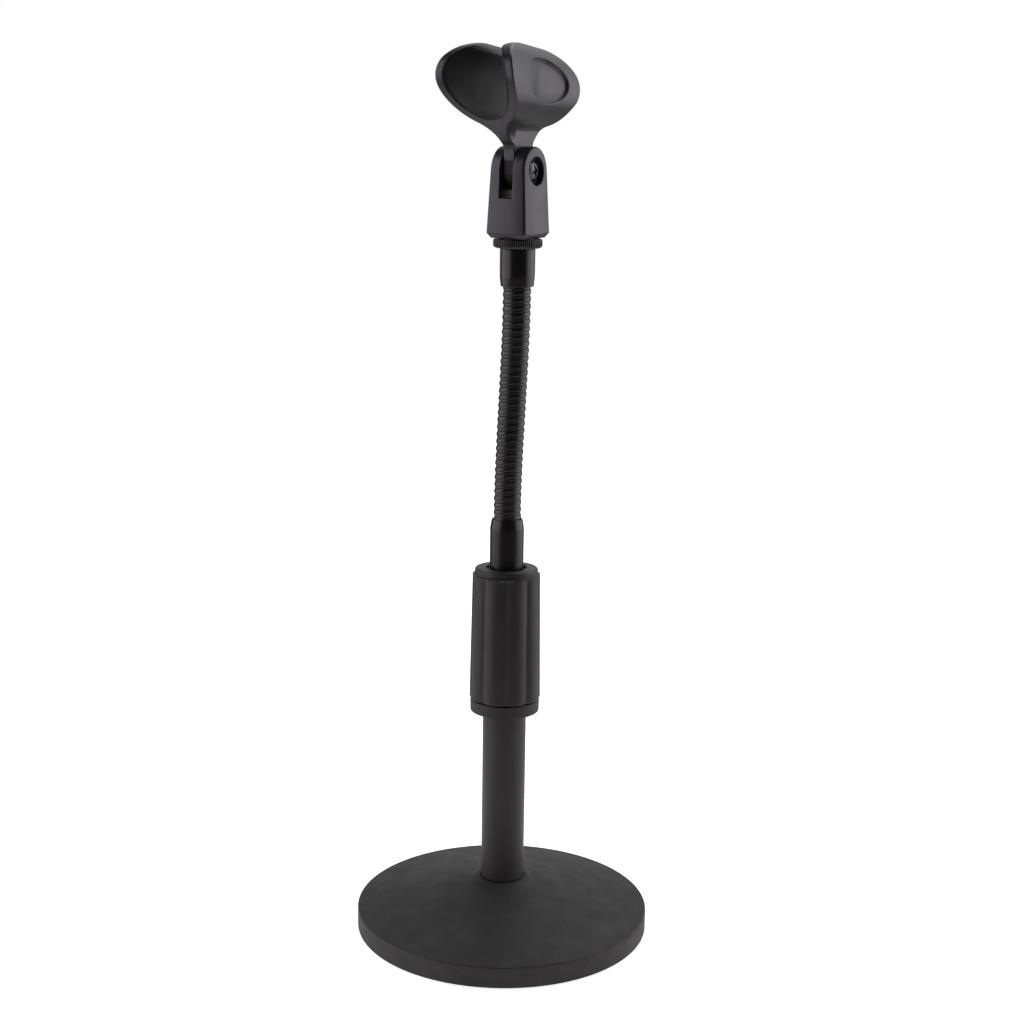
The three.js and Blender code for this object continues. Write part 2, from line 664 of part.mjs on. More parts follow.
// A cone on the cup's axis, whose radius and height both grow slowly towards the front.
function cupCone(offset) {
  const front = CUP_RADIUS + CUP_RADIUS_SLOPE * CUP_FRONT + offset;
  const rear = CUP_RADIUS + CUP_RADIUS_SLOPE * CUP_REAR + offset;
  const length = CUP_FRONT - CUP_REAR;
  const cone = new THREE.CylinderGeometry(rear, front, length, 56);
  const middle = (CUP_FRONT + CUP_REAR) / 2;
  cone.translate(0, -middle, 0);
  cone.rotateX(-Math.atan(CUP_AXIS_SLOPE));
  return cone.translate(0, 0, CUP_AXIS_HEIGHT);
}

// The solid that fills the corner between the cup's underside and the flat tongue.
function clipShoulder() {
  const half = TONGUE_THICKNESS / 2;
  const flare = [[half, -9], [half, 14], [half + 0.5, 15.9], [5.6, 17.9], [9, 20], [14, 25.4]];
  const mirrored = flare.map(([x, up]) => [-x, up]).reverse();
  return frontExtrusion([...flare, [0, 34], ...mirrored], 90);
}

// The oval finger recess in a leaf, as a flat plug along X.
function recessPlug(side) {
  const plug = new THREE.CylinderGeometry(1, 1, 30, 40).rotateZ(Math.PI / 2);
  plug.scale(1, RECESS_LENGTH / 2, RECESS_HEIGHT / 2);
  plug.rotateX(-RECESS_SLOPE);
  return plug.translate(side * 15, -RECESS_FORWARD, RECESS_UP);
}

function micClip() {
  const outline = solid(sideExtrusion(clipOutline(), THROUGH));
  const mouth = solid(block(CUP_MOUTH, 2 * THROUGH, THROUGH, 0, 0, CUP_AXIS_HEIGHT + THROUGH / 2 + 2));
  const hole = solid(bar(SCREW_HOLE_RADIUS, -THROUGH / 2, THROUGH / 2, 24).rotateY(Math.PI / 2));
  const recessFloor = solid(cupCone(-RECESS_DEPTH));
  let body = solid(cupCone(0)).add(solid(clipShoulder())).intersect(outline);
  for (const side of [-1, 1]) {
    body = body.subtract(solid(recessPlug(side)).subtract(recessFloor));
  }
  for (const cut of [solid(cupCone(-CUP_WALL)), mouth, hole]) body = body.subtract(cut);
  return piece('mic_clip', geometryOf(body), mouldedPlastic());
}

// ---------------------------------------------------------------- the whole stand

const stand = new THREE.Group();
stand.add(baseCasting(), basePad(), baseBolt(), baseWasher(), baseLockWasher());
stand.add(outerTube(), tubeEndPlug(), clutchSleeve(), splitCollet(), lockNut());
stand.add(innerTube(), guideBush(), neckLowerEnd());
for (let i = 0; i + 1 < NECK_HINGES; i += 1) stand.add(neckLink(i));

// The head's pieces are drawn at their heights on the straight stand, then tilted together
// about the top of the neck.
const tilted = new THREE.Group();
tilted.position.copy(neckPoint(NECK_MOUTH_HIGH));
const upright = new THREE.Vector3(0, 0, 1);
const headAxis = upright.clone().applyAxisAngle(leanSide, HEAD_TILT);
tilted.quaternion.setFromUnitVectors(upright, headAxis);
const head = new THREE.Group();
head.position.set(0, 0, -NECK_MOUTH_HIGH);
head.add(neckUpperEnd(), upperFerrule(), threadAdapter());
const pivot = new THREE.Group();
pivot.position.set(0, 0, PIVOT_HEIGHT);
pivot.add(swivelBody(), pivotScrew(), pivotNut(), micClip());
head.add(pivot);
tilted.add(head);
stand.add(tilted);

export default stand;
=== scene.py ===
import json
import math

import bmesh
import bpy
import numpy as np
from mathutils import Matrix, Quaternion, Vector


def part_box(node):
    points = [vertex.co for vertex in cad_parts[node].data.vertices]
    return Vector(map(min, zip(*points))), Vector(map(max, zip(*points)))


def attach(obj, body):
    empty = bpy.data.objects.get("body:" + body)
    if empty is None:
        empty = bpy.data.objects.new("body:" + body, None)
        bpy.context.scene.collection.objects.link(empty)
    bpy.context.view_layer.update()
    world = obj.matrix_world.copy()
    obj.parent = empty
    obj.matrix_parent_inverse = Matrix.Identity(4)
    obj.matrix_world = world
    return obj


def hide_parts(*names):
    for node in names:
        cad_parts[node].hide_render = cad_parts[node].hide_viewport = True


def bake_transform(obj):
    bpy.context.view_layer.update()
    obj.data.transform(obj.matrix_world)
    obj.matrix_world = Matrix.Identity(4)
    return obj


# Desktop microphone stand: its looks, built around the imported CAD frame.
# Shapes are worked out in millimetres and written to Blender in metres.

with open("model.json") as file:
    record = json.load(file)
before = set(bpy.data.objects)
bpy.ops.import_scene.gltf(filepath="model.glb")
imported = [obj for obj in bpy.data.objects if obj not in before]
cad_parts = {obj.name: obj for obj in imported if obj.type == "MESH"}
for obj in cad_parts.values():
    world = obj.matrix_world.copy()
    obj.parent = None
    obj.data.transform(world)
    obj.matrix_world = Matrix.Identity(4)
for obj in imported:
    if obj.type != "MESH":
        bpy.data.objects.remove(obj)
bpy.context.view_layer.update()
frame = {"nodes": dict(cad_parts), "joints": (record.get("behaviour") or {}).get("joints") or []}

MM = 0.001
joints = {joint["name"]: joint for joint in frame["joints"]}


def span(node):
    """Lowest and highest corner of a CAD node, in millimetres."""
    low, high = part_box(node)
    return np.array(low) / MM, np.array(high) / MM


def joint_point(name):
    return np.array(joints[name]["pos_m"]) / MM


# ---------------------------------------------------------------- sizes read from the frame

GAP = 0.3  # clearance between neighbouring pieces
base_low, base_high = span("base_casting")
pad_low, pad_high = span("base_pad")
pole_low, pole_high = span("outer_tube")
sleeve_low, sleeve_high = span("clutch_sleeve")
nut_low, nut_high = span("lock_nut")
tube_low, tube_high = span("inner_tube")

BASE_RADIUS = base_high[0]
BASE_BOTTOM = base_low[2]
CROWN_TOP = base_high[2]
PAD_RADIUS = pad_high[0]
POLE_RADIUS = pole_high[0]
POLE_FOOT, POLE_TOP = pole_low[2], pole_high[2]
RING_RADIUS = sleeve_high[0]
RING_BOTTOM, SLEEVE_TOP = sleeve_low[2], sleeve_high[2]
NUT_BOTTOM, NUT_TOP = nut_low[2], nut_high[2]
TUBE_RADIUS = tube_high[0]
TUBE_FOOT, TUBE_TOP = tube_low[2], tube_high[2]
NECK_RADIUS = span("gooseneck_lower_end")[1][0]

# base
RIM_HEIGHT = 9.9  # of the base's upright edge
BOLT_HOLE = 4.3
BOLT_RECESS_RADIUS = 12
WASHER_SEAT = 10.9  # the face inside the casting that the washer is pulled against
PAD_INNER_RADIUS = 15
PAD_GROOVES = 5
PAD_GROOVE_PITCH = 9
PAD_GROOVE_DEPTH = 0.7
HUB_RADIUS = 22  # the casting is hollow below, from the hub out to its rim
HOLLOW_RADIUS = 58
HOLLOW_TOP_AT_HUB = 8.5
HOLLOW_TOP_AT_RIM = 5.5
TUBE_WALL = 1.2

# clutch
RING_HEIGHT = 5.8
BARREL_RADIUS = 13.2
NUT_RADIUS_LOW = 17
NUT_RADIUS_HIGH = 16.05
NUT_CAP_RADIUS = 14.85
NUT_CAP_HEIGHT = 2.9
NUT_BORE = 13.6
LOBES = 9
LOBE_RADIUS = 7.6  # of each lobe's own arc
GROOVE_HEADING = math.radians(22)  # of one groove between two lobes
GROOVE_END = NUT_TOP - 3.2
GROOVE_RUN_OUT = 1.6

# gooseneck
COIL_PITCH = 3.36
BAND_HALF_WIDTH = 1.16  # the wide, crowned wire
BAND_SAG = 0.44
FILLER_HALF_WIDTH = 0.5  # the narrow wire in the groove between its turns
FILLER_DEPTH = 0.3
COIL_INNER_RADIUS = 5.1
STEPS_PER_TURN = 56

# head, with heights measured from the clip's pivot along the head's own axis
PIVOT = joint_point("clip_tilt")
SWIVEL_FOOT = -np.linalg.norm(PIVOT - joint_point("head_swivel"))
ADAPTER_TOP = SWIVEL_FOOT - GAP
ADAPTER_BOTTOM = ADAPTER_TOP - 3.8
ADAPTER_RADIUS = 11.13
ADAPTER_THREAD_RADIUS = 7.85
ADAPTER_THREAD_TOP = SWIVEL_FOOT + 10.9
FERRULE_TOP = ADAPTER_BOTTOM - GAP
FERRULE_BOTTOM = FERRULE_TOP - 17
FERRULE_RADIUS = 8.02
STUD_RADIUS = 4.7
STUD_TOP = SWIVEL_FOOT + 8.4
KNURL_TEETH = 72

# swivel fork
EAR_RADIUS = 10.6
FORK_HALF_WIDTH = 10.65  # along the pivot, at the foot
FORK_HALF_WIDTH_TOP = 8.35
FORK_HALF_DEPTH = 11.6  # across the pivot, at the foot
FORK_BOW = 1.1
FORK_SIDE_BOW = 1.0
FORK_SWELL = 0.4  # how far its sides stand out in the middle
FORK_CHAMFER = 2.4
SLOT_HALF_WIDTH = 3.25
SLOT_FLOOR = -11.7
COUNTERBORE_RADIUS = 6.25
COUNTERBORE_FLOOR = 6.3
SCREW_RADIUS = 1.95
SCREW_HEAD_RADIUS = 4.6
SCREW_HEAD_HEIGHT = 2.3
SCREW_THREAD_PITCH = 0.7
SCREW_DOME_RADIUS = 6.2
CROSS_REACH = 2.9  # of each arm of the cross recess, from the screw's axis
CROSS_HALF_WIDTH = 1.15
CROSS_DEPTH = 1.7
CROSS_TURN = math.radians(14)
PIVOT_NUT_APOTHEM = 3.55
PIVOT_NUT_HEIGHT = 2.4

# clip
CUP_RADIUS = 18.15  # above the pivot
CUP_RADIUS_SLOPE = 0.043  # growth of the radius per millimetre forward
CUP_HEIGHT = 36.35
CUP_HEIGHT_SLOPE = 0.055
CUP_WALL_SIDE = 4.7
CUP_WALL_ENDS = 3.2
MOUTH_HALF_WIDTH = 8
TONGUE_HALF_WIDTH = 2.95
SHOULDER_FILLET = 2.2
SHOULDER_FLARE = 3.5  # added to the fillet along the neck's front edge
RECESS_HALF_LENGTH = 18.6
RECESS_HALF_HEIGHT = 9.4
RECESS_CENTRE = (5.5, 38.2)  # forward, up
RECESS_SLOPE = math.radians(8)
RECESS_DEPTH = 1.5


# ---------------------------------------------------------------- the head's place

head_axis = Vector(joints["head_swivel"]["axis"]).normalized()
head_turn = Vector((0, 0, 1)).rotation_difference(head_axis).to_matrix().to_4x4()
HEAD = Matrix.Translation(Vector(PIVOT) * MM) @ head_turn
UPRIGHT = Matrix.Identity(4)


# ---------------------------------------------------------------- node helpers

def new_material(name):
    material = bpy.data.materials.new(name)
    material.use_nodes = True
    tree = material.node_tree
    shader = tree.nodes["Principled BSDF"]
    place = tree.nodes.new("ShaderNodeTexCoord").outputs["Object"]
    return material, tree, shader, place


def noise(tree, place, scale, detail=2.0, roughness=0.5, stretch=None):
    """Noise with features of about 1 / scale metres, drawn out along an axis by stretch."""
    if stretch:
        mapping = tree.nodes.new("ShaderNodeMapping")
        mapping.inputs["Scale"].default_value = stretch
        tree.links.new(place, mapping.inputs["Vector"])
        place = mapping.outputs["Vector"]
    texture = tree.nodes.new("ShaderNodeTexNoise")
    texture.inputs["Scale"].default_value = scale
    texture.inputs["Detail"].default_value = detail
    texture.inputs["Roughness"].default_value = roughness
    tree.links.new(place, texture.inputs["Vector"])
    return texture.outputs["Fac"]


def spread(tree, value, from_low, from_high, to_low, to_high):
    """Maps a value's range onto another one, clamped."""
    node = tree.nodes.new("ShaderNodeMapRange")
    for name, number in zip(("From Min", "From Max", "To Min", "To Max"),
                            (from_low, from_high, to_low, to_high)):
        node.inputs[name].default_value = number
    tree.links.new(value, node.inputs["Value"])
    return node.outputs["Result"]


def blended_colour(tree, share, first, second):
    node = tree.nodes.new("ShaderNodeMix")
    node.data_type = "RGBA"
    sockets = [socket for socket in node.inputs if socket.type == "RGBA"]
    for socket, colour in zip(sockets, (first, second)):
        if isinstance(colour, bpy.types.NodeSocket):
            tree.links.new(colour, socket)
        else:
            socket.default_value = (*colour, 1)
    tree.links.new(share, node.inputs["Factor"])
    return next(socket for socket in node.outputs if socket.type == "RGBA")


def bump(tree, height, distance, strength=1.0, under=None):
    node = tree.nodes.new("ShaderNodeBump")
    node.inputs["Strength"].default_value = strength
    node.inputs["Distance"].default_value = distance
    tree.links.new(height, node.inputs["Height"])
    if under is not None:
        tree.links.new(under, node.inputs["Normal"])
    return node.outputs["Normal"]


def black_finish(name, dark, light, roughness, grain, specular, dust=0.0, streaks=None,
                 tint=(1, 0.93, 0.97)):
    """A dark surface: two close tones, uneven gloss, a fine grain and a few specks of dust.
    grain is (size in metres, depth in metres) and streaks stretches the uneven gloss."""
    material, tree, shader, place = new_material(name)
    clouds = noise(tree, place, 55, 4, 0.55)
    tone = blended_colour(tree, spread(tree, clouds, 0.35, 0.65, 0, 1), dark, light)
    if dust:
        specks = spread(tree, noise(tree, place, 750, 1), 0.735, 0.78, 0, dust)
        tone = blended_colour(tree, specks, tone, (0.2, 0.195, 0.19))
    tree.links.new(tone, shader.inputs["Base Color"])
    low, high = roughness
    gloss = noise(tree, place, 90, 3, 0.6, streaks)
    tree.links.new(spread(tree, gloss, 0.3, 0.7, low, high), shader.inputs["Roughness"])
    size, depth = grain
    fine = noise(tree, place, 1 / size, 2, 0.6)
    waves = noise(tree, place, 0.16 / size, 1)
    rolling = bump(tree, waves, depth * 0.8, 0.3)
    tree.links.new(bump(tree, fine, depth, 0.8, rolling), shader.inputs["Normal"])
    shader.inputs["Specular IOR Level"].default_value = specular
    shader.inputs["Specular Tint"].default_value = (*tint, 1)
    return material


def steel_finish(name, colour, roughness):
    """Plated steel with fine turning marks and slight tarnish."""
    material, tree, shader, place = new_material(name)
    tarnish = noise(tree, place, 320, 4, 0.6)
    darker = tuple(0.55 * channel for channel in colour)
    tone = blended_colour(tree, spread(tree, tarnish, 0.35, 0.7, 0, 1), colour, darker)
    tree.links.new(tone, shader.inputs["Base Color"])
    low, high = roughness
    tree.links.new(spread(tree, tarnish, 0.3, 0.7, low, high), shader.inputs["Roughness"])
    marks = noise(tree, place, 900, 2, 0.5, (6, 1, 1))
    tree.links.new(bump(tree, marks, 0.00003, 0.5), shader.inputs["Normal"])
    shader.inputs["Metallic"].default_value = 1
    return material


def rubber_finish(name):
    material, tree, shader, place = new_material(name)
    tone = blended_colour(tree, noise(tree, place, 220, 4), (0.012, 0.012, 0.012), (0.024, 0.023, 0.022))
    tree.links.new(tone, shader.inputs["Base Color"])
    pores = noise(tree, place, 1400, 3)
    tree.links.new(spread(tree, pores, 0.3, 0.7, 0.75, 0.95), shader.inputs["Roughness"])
    tree.links.new(bump(tree, pores, 0.0001, 0.7), shader.inputs["Normal"])
    return material


def nylon_finish(name):
    material, tree, shader, place = new_material(name)
    tone = blended_colour(tree, noise(tree, place, 160, 3), (0.36, 0.35, 0.31), (0.46, 0.45, 0.41))
    tree.links.new(tone, shader.inputs["Base Color"])
    grain = noise(tree, place, 1100, 2)
    tree.links.new(spread(tree, grain, 0.3, 0.7, 0.42, 0.6), shader.inputs["Roughness"])
    tree.links.new(bump(tree, grain, 0.00005, 0.6), shader.inputs["Normal"])
    shader.inputs["Subsurface Weight"].default_value = 0.15
    shader.inputs["Subsurface Scale"].default_value = 0.002
    return material


cast_paint = black_finish(
    "powder_coat", (0.0165, 0.016, 0.018), (0.021, 0.02, 0.022), (0.58, 0.72), (0.00055, 0.00006), 0.4,
    dust=0.12)
pole_paint = black_finish(
    "pole_paint", (0.015, 0.0142, 0.0144), (0.0205, 0.0193, 0.0193), (0.4, 0.5), (0.0006, 0.00002), 0.42,
    dust=0.05, streaks=(1, 1, 0.15))
tube_paint = black_finish(
    "tube_paint", (0.0055, 0.005, 0.005), (0.0075, 0.007, 0.007), (0.24, 0.32), (0.0006, 0.000012), 0.42,
    streaks=(1, 1, 0.1), tint=(1, 0.88, 0.9))
coil_black = black_finish(
    "coil_black", (0.006, 0.0055, 0.0055), (0.01, 0.0092, 0.0095), (0.26, 0.38), (0.0004, 0.00001), 0.5)
moulded_plastic = black_finish(
    "moulded_plastic", (0.014, 0.0137, 0.0155), (0.0175, 0.017, 0.0195), (0.32, 0.42),
    (0.0005, 0.000018), 0.5, dust=0.06, tint=(0.95, 0.88, 1))
# Darker, matt plastic for the inside of the clip's cup and the tongue inside the fork: its darker tone
# is painted shade, and its roughness is the plastic's own.
matt_plastic_painted_shade = black_finish(
    "matt_plastic_painted_shade", (0.0055, 0.005, 0.0056), (0.0075, 0.007, 0.0078), (0.5, 0.6),
    (0.0004, 0.00003), 0.25)
grip_plastic = black_finish(
    "grip_plastic", (0.0125, 0.012, 0.013), (0.0165, 0.0158, 0.017), (0.44, 0.55),
    (0.0005, 0.00003), 0.45, dust=0.06)
black_steel = black_finish(
    "black_steel", (0.008, 0.0078, 0.0075), (0.014, 0.0135, 0.013), (0.34, 0.48), (0.0004, 0.00002), 0.5)
screw_steel = steel_finish("screw_steel", (0.13, 0.13, 0.14), (0.34, 0.48))
plated_steel = steel_finish("plated_steel", (0.6, 0.6, 0.61), (0.28, 0.45))
rubber = rubber_finish("pad_rubber")
nylon = nylon_finish("natural_nylon")


# ---------------------------------------------------------------- mesh helpers

SUPPORT = 0.06  # distance from a fillet to the row that keeps the flat beside it flat
ARC_STEPS = 5


def rounded(corners):
    """A closed profile of (radius, height, fillet) corners as points, each fillet an arc."""
    points = []
    for i, (radius, height, fillet) in enumerate(corners):
        here = np.array([radius, height], float)
        if fillet == 0:
            points.append(here)
            continue
        before = np.array(corners[i - 1][:2]) - here
        after = np.array(corners[(i + 1) % len(corners)][:2]) - here
        before /= np.linalg.norm(before)
        after /= np.linalg.norm(after)
        half = math.acos(np.clip(before @ after, -1, 1)) / 2
        reach = fillet / math.tan(half)
        middle = (before + after) / np.linalg.norm(before + after)
        centre = here + middle * fillet / math.sin(half)
        first = here + before * reach - centre
        last = here + after * reach - centre
        turn = math.pi - 2 * half
        points.append(here + before * (reach + SUPPORT))
        for share in np.linspace(0, 1, ARC_STEPS + 1):
            near = math.sin((1 - share) * turn)
            far = math.sin(share * turn)
            points.append(centre + (first * near + last * far) / math.sin(turn))
        points.append(here + after * (reach + SUPPORT))
    return np.array(points)


def turned(corners, segments=192, shaped=None):
    """Turns a closed profile about Z. shaped(radius, height, angle) may change each point's radius."""
    profile = rounded(corners)
    angle = np.arange(segments) * 2 * math.pi / segments
    radius = np.repeat(profile[:, :1], segments, axis=1)
    height = np.repeat(profile[:, 1:], segments, axis=1)
    if shaped:
        radius = shaped(radius, height, angle[None, :])
    points = np.stack([radius * np.cos(angle), radius * np.sin(angle), height], -1).reshape(-1, 3)
    row, column = np.meshgrid(np.arange(len(profile)), np.arange(segments), indexing="ij")
    next_row = (row + 1) % len(profile)
    next_column = (column + 1) % segments
    quads = [row * segments + column, row * segments + next_column,
             next_row * segments + next_column, next_row * segments + column]
    return points, np.stack(quads, -1).reshape(-1, 4).tolist()


def piece(name, shape, finish, body, nodes, place=UPRIGHT, sharp_angle=38):
    """A named object from (points in millimetres, faces) that stands for CAD nodes.
    It rides on a body, or on none."""
    points, faces = shape
    mesh = bpy.data.meshes.new(name)
    mesh.from_pydata((np.asarray(points) * MM).tolist(), [], faces)
    work = bmesh.new()
    work.from_mesh(mesh)
    bmesh.ops.remove_doubles(work, verts=work.verts, dist=1e-8)
    work.to_mesh(mesh)
    work.free()
    mesh.transform(place)
    mesh.shade_smooth()
    mesh.set_sharp_from_angle(angle=math.radians(sharp_angle))
    mesh.materials.append(finish)
    made = bpy.data.objects.new(name, mesh)
    bpy.context.scene.collection.objects.link(made)
    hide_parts(*nodes)
    if body:
        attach(made, body)
    return made


def pipe(outer, inner, bottom, top, fillet):
    return [(inner, bottom, 0), (outer, bottom, fillet), (outer, top, fillet), (inner, top, 0)]


# ---------------------------------------------------------------- shapes from distances

def join_round(a, b, radius):
    """Union of two signed distances, with a fillet in the inner corner."""
    reach = np.hypot(np.maximum(radius - a, 0), np.maximum(radius - b, 0))
    return np.maximum(radius, np.minimum(a, b)) - reach


def meet_round(a, b, radius):
    """Common part of two signed distances, with a rounded edge."""
    reach = np.hypot(np.maximum(radius + a, 0), np.maximum(radius + b, 0))
    return np.minimum(-radius, np.maximum(a, b)) + reach


def cut_round(a, b, radius):
    return meet_round(a, -b, radius)


def smooth_share(value):
    share = np.clip(value, 0, 1)
    return share * share * (3 - 2 * share)


def outline_distance(outline, x, y):
    """Signed distance to a closed outline, below zero inside it."""
    x, y = np.broadcast_arrays(x, y)
    nearest = np.full(x.shape, np.inf)
    inside = np.zeros(x.shape, bool)
    for (ax, ay), (bx, by) in zip(outline, np.roll(outline, -1, axis=0)):
        ex, ey = bx - ax, by - ay
        wx, wy = x - ax, y - ay
        along = np.clip((wx * ex + wy * ey) / (ex * ex + ey * ey), 0, 1)
        nearest = np.minimum(nearest, (wx - ex * along) ** 2 + (wy - ey * along) ** 2)
        straddles = (ay > y) != (by > y)
        inside ^= straddles & ((wx * ey < ex * wy) == (ey > 0))
    return np.where(inside, -1, 1) * np.sqrt(nearest)


def settled(points, distance, most):
    """Moves points onto the zero surface, each by no more than most at a time."""
    probe = 0.01
    for _ in range(3):
        value = distance(*points.T)
        slope = np.stack([(distance(*(points + offset).T) - value) / probe
                          for offset in np.eye(3) * probe], 1)
        move = slope * (value / np.maximum((slope ** 2).sum(1), 0.25))[:, None]
        length = np.linalg.norm(move, axis=1)[:, None]
        points = points - move * np.minimum(1, most / np.maximum(length, 1e-9))
    return points


def relaxed(points, quads):
    """Each point at the mean of the middles of its faces."""
    middles = points[quads].mean(1)
    uses = np.bincount(quads.ravel(), minlength=len(points))
    total = np.zeros_like(points)
    for k in range(3):
        total[:, k] = np.bincount(quads.ravel(), np.repeat(middles[:, k], 4), len(points))
    return total / uses[:, None]


def surface_net(distance, low, high, step):
    """The zero surface of a signed distance of (x, y, z) as (points, quads): one point in each
    grid cell that it crosses, settled on the surface."""
    axes = [np.arange(start - 2 * step, stop + 3 * step, step) for start, stop in zip(low, high)]
    values = distance(*np.meshgrid(*axes, indexing="ij", sparse=True))
    inside = values < 0
    count = np.zeros([n - 1 for n in inside.shape], np.int8)
    for corner in np.ndindex(2, 2, 2):
        count += inside[tuple(slice(c, n - 1 + c) for c, n in zip(corner, inside.shape))]
    crossed = (count > 0) & (count < 8)
    index = np.full(crossed.shape, -1)
    index[crossed] = np.arange(crossed.sum())
    cells = np.argwhere(crossed)
    points = np.stack([axis[cells[:, k]] for k, axis in enumerate(axes)], 1) + step / 2
    quads = []
    for k in range(3):
        first = np.take(inside, range(inside.shape[k] - 1), k)
        second = np.take(inside, range(1, inside.shape[k]), k)
        at = np.argwhere(first != second)
        around = []
        for b, c in ((0, 0), (-1, 0), (-1, -1), (0, -1)):
            cell = at.copy()
            cell[:, (k + 1) % 3] += b
            cell[:, (k + 2) % 3] += c
            around.append(index[tuple(cell.T)])
        quad = np.stack(around, 1)
        backward = ~first[tuple(at.T)]
        quad[backward] = quad[backward][:, ::-1]
        quads.append(quad)
    quads = np.concatenate(quads)
    points = settled(points, distance, step)
    for _ in range(2):
        points = settled(relaxed(points, quads), distance, step)
    return points, quads.tolist()


# ---------------------------------------------------------------- base and pole

def base():
    pad_ceiling = pad_high[2] + GAP
    rim_top = BASE_BOTTOM + RIM_HEIGHT
    corners = [
        (BOLT_HOLE, WASHER_SEAT, 0.3),
        (BOLT_RECESS_RADIUS, WASHER_SEAT, 0.5),
        (BOLT_RECESS_RADIUS, BASE_BOTTOM, 0.3),
        (PAD_INNER_RADIUS - GAP, BASE_BOTTOM, 0.3),
        (PAD_INNER_RADIUS - GAP, pad_ceiling, 0.3),
        (HUB_RADIUS, pad_ceiling, 0.5),
        (HUB_RADIUS, HOLLOW_TOP_AT_HUB, 1.5),
        (HOLLOW_RADIUS, HOLLOW_TOP_AT_RIM, 1.2),
        (HOLLOW_RADIUS, pad_ceiling, 0.5),
        (PAD_RADIUS + GAP, pad_ceiling, 0.3),
        (PAD_RADIUS + GAP, BASE_BOTTOM, 0.3),
        (BASE_RADIUS, BASE_BOTTOM, 0.5),
        (BASE_RADIUS, rim_top, 0.9),
        (POLE_RADIUS + 4, CROWN_TOP - 1.1, 9),
        (POLE_RADIUS + 2.1, CROWN_TOP, 0.8),
        (POLE_RADIUS + 0.25, CROWN_TOP, 0.25),
        (POLE_RADIUS + 0.25, POLE_FOOT - GAP, 0),
        (BOLT_HOLE, POLE_FOOT - GAP, 0),
    ]
    piece("base_body", turned(corners, 256), cast_paint, "stand", ["base_casting"])


def pad():
    """The rubber ring, with shallow concentric grooves in its underside."""
    corners = [(PAD_INNER_RADIUS, pad_high[2], 0.3), (PAD_INNER_RADIUS, pad_low[2], 0.4)]
    sunk = pad_low[2] + PAD_GROOVE_DEPTH
    for groove in range(PAD_GROOVES):
        radius = HUB_RADIUS + PAD_GROOVE_PITCH * groove
        corners += [(radius, pad_low[2], 0.15), (radius + 0.6, sunk, 0.15),
                    (radius + 2.4, sunk, 0.15), (radius + 3, pad_low[2], 0.15)]
    corners += [(PAD_RADIUS, pad_low[2], 0.4), (PAD_RADIUS, pad_high[2], 0.3)]
    piece("base_rubber", turned(corners), rubber, "stand", ["base_pad"])


def pole():
    corners = pipe(POLE_RADIUS, POLE_RADIUS - TUBE_WALL, POLE_FOOT, POLE_TOP, 0.3)
    piece("pole_tube", turned(corners), pole_paint, "stand", ["outer_tube"])


def telescoping_tube():
    """The inner tube, drawn in round the gooseneck at its mouth."""
    inner = TUBE_RADIUS - TUBE_WALL
    mouth = TUBE_RADIUS - 0.85
    corners = [
        (inner, TUBE_FOOT, 0),
        (TUBE_RADIUS, TUBE_FOOT, 0.3),
        (TUBE_RADIUS, TUBE_TOP - 4.4, 5),
        (mouth + 0.25, TUBE_TOP - 0.7, 0.5),
        (mouth, TUBE_TOP, 0.15),
        (inner, TUBE_TOP, 0.1),
    ]
    piece("telescoping_tube", turned(corners), tube_paint, "inner_tube", ["inner_tube"])


# ---------------------------------------------------------------- clutch

def clutch_ring():
    """The ring under the nut, and the barrel inside it."""
    bore = POLE_RADIUS + 0.2
    collar = TUBE_RADIUS + GAP
    ring_top = RING_BOTTOM + RING_HEIGHT
    corners = [
        (bore, RING_BOTTOM, 0.3),
        (RING_RADIUS - 0.1, RING_BOTTOM, 0.6),
        (RING_RADIUS, ring_top, 0.35),
        (BARREL_RADIUS, ring_top, 0.2),
        (BARREL_RADIUS, SLEEVE_TOP, 0.3),
        (collar + 1.5, SLEEVE_TOP, 0),
        (collar, SLEEVE_TOP - 1.5, 0),
        (collar, POLE_TOP + GAP, 0),
        (bore, POLE_TOP + GAP, 0),
    ]
    piece("clutch_ring", turned(corners), grip_plastic, "stand", ["clutch_sleeve"])


def lobed(radius, height, angle):
    """Turns the nut's outside into convex lobes, whose rounded grooves end in arches on top."""
    pitch = 2 * math.pi / LOBES
    off_centre = (angle - GROOVE_HEADING) % pitch - pitch / 2
    centre = radius - LOBE_RADIUS
    within = np.maximum(LOBE_RADIUS ** 2 - (centre * np.sin(off_centre)) ** 2, 0)
    depth = radius - centre * np.cos(off_centre) - np.sqrt(within)
    ended = smooth_share((GROOVE_END - height + 0.7 * depth) / GROOVE_RUN_OUT)
    outside = radius > NUT_CAP_RADIUS + 0.3
    return np.where(outside, radius - depth * ended, radius)


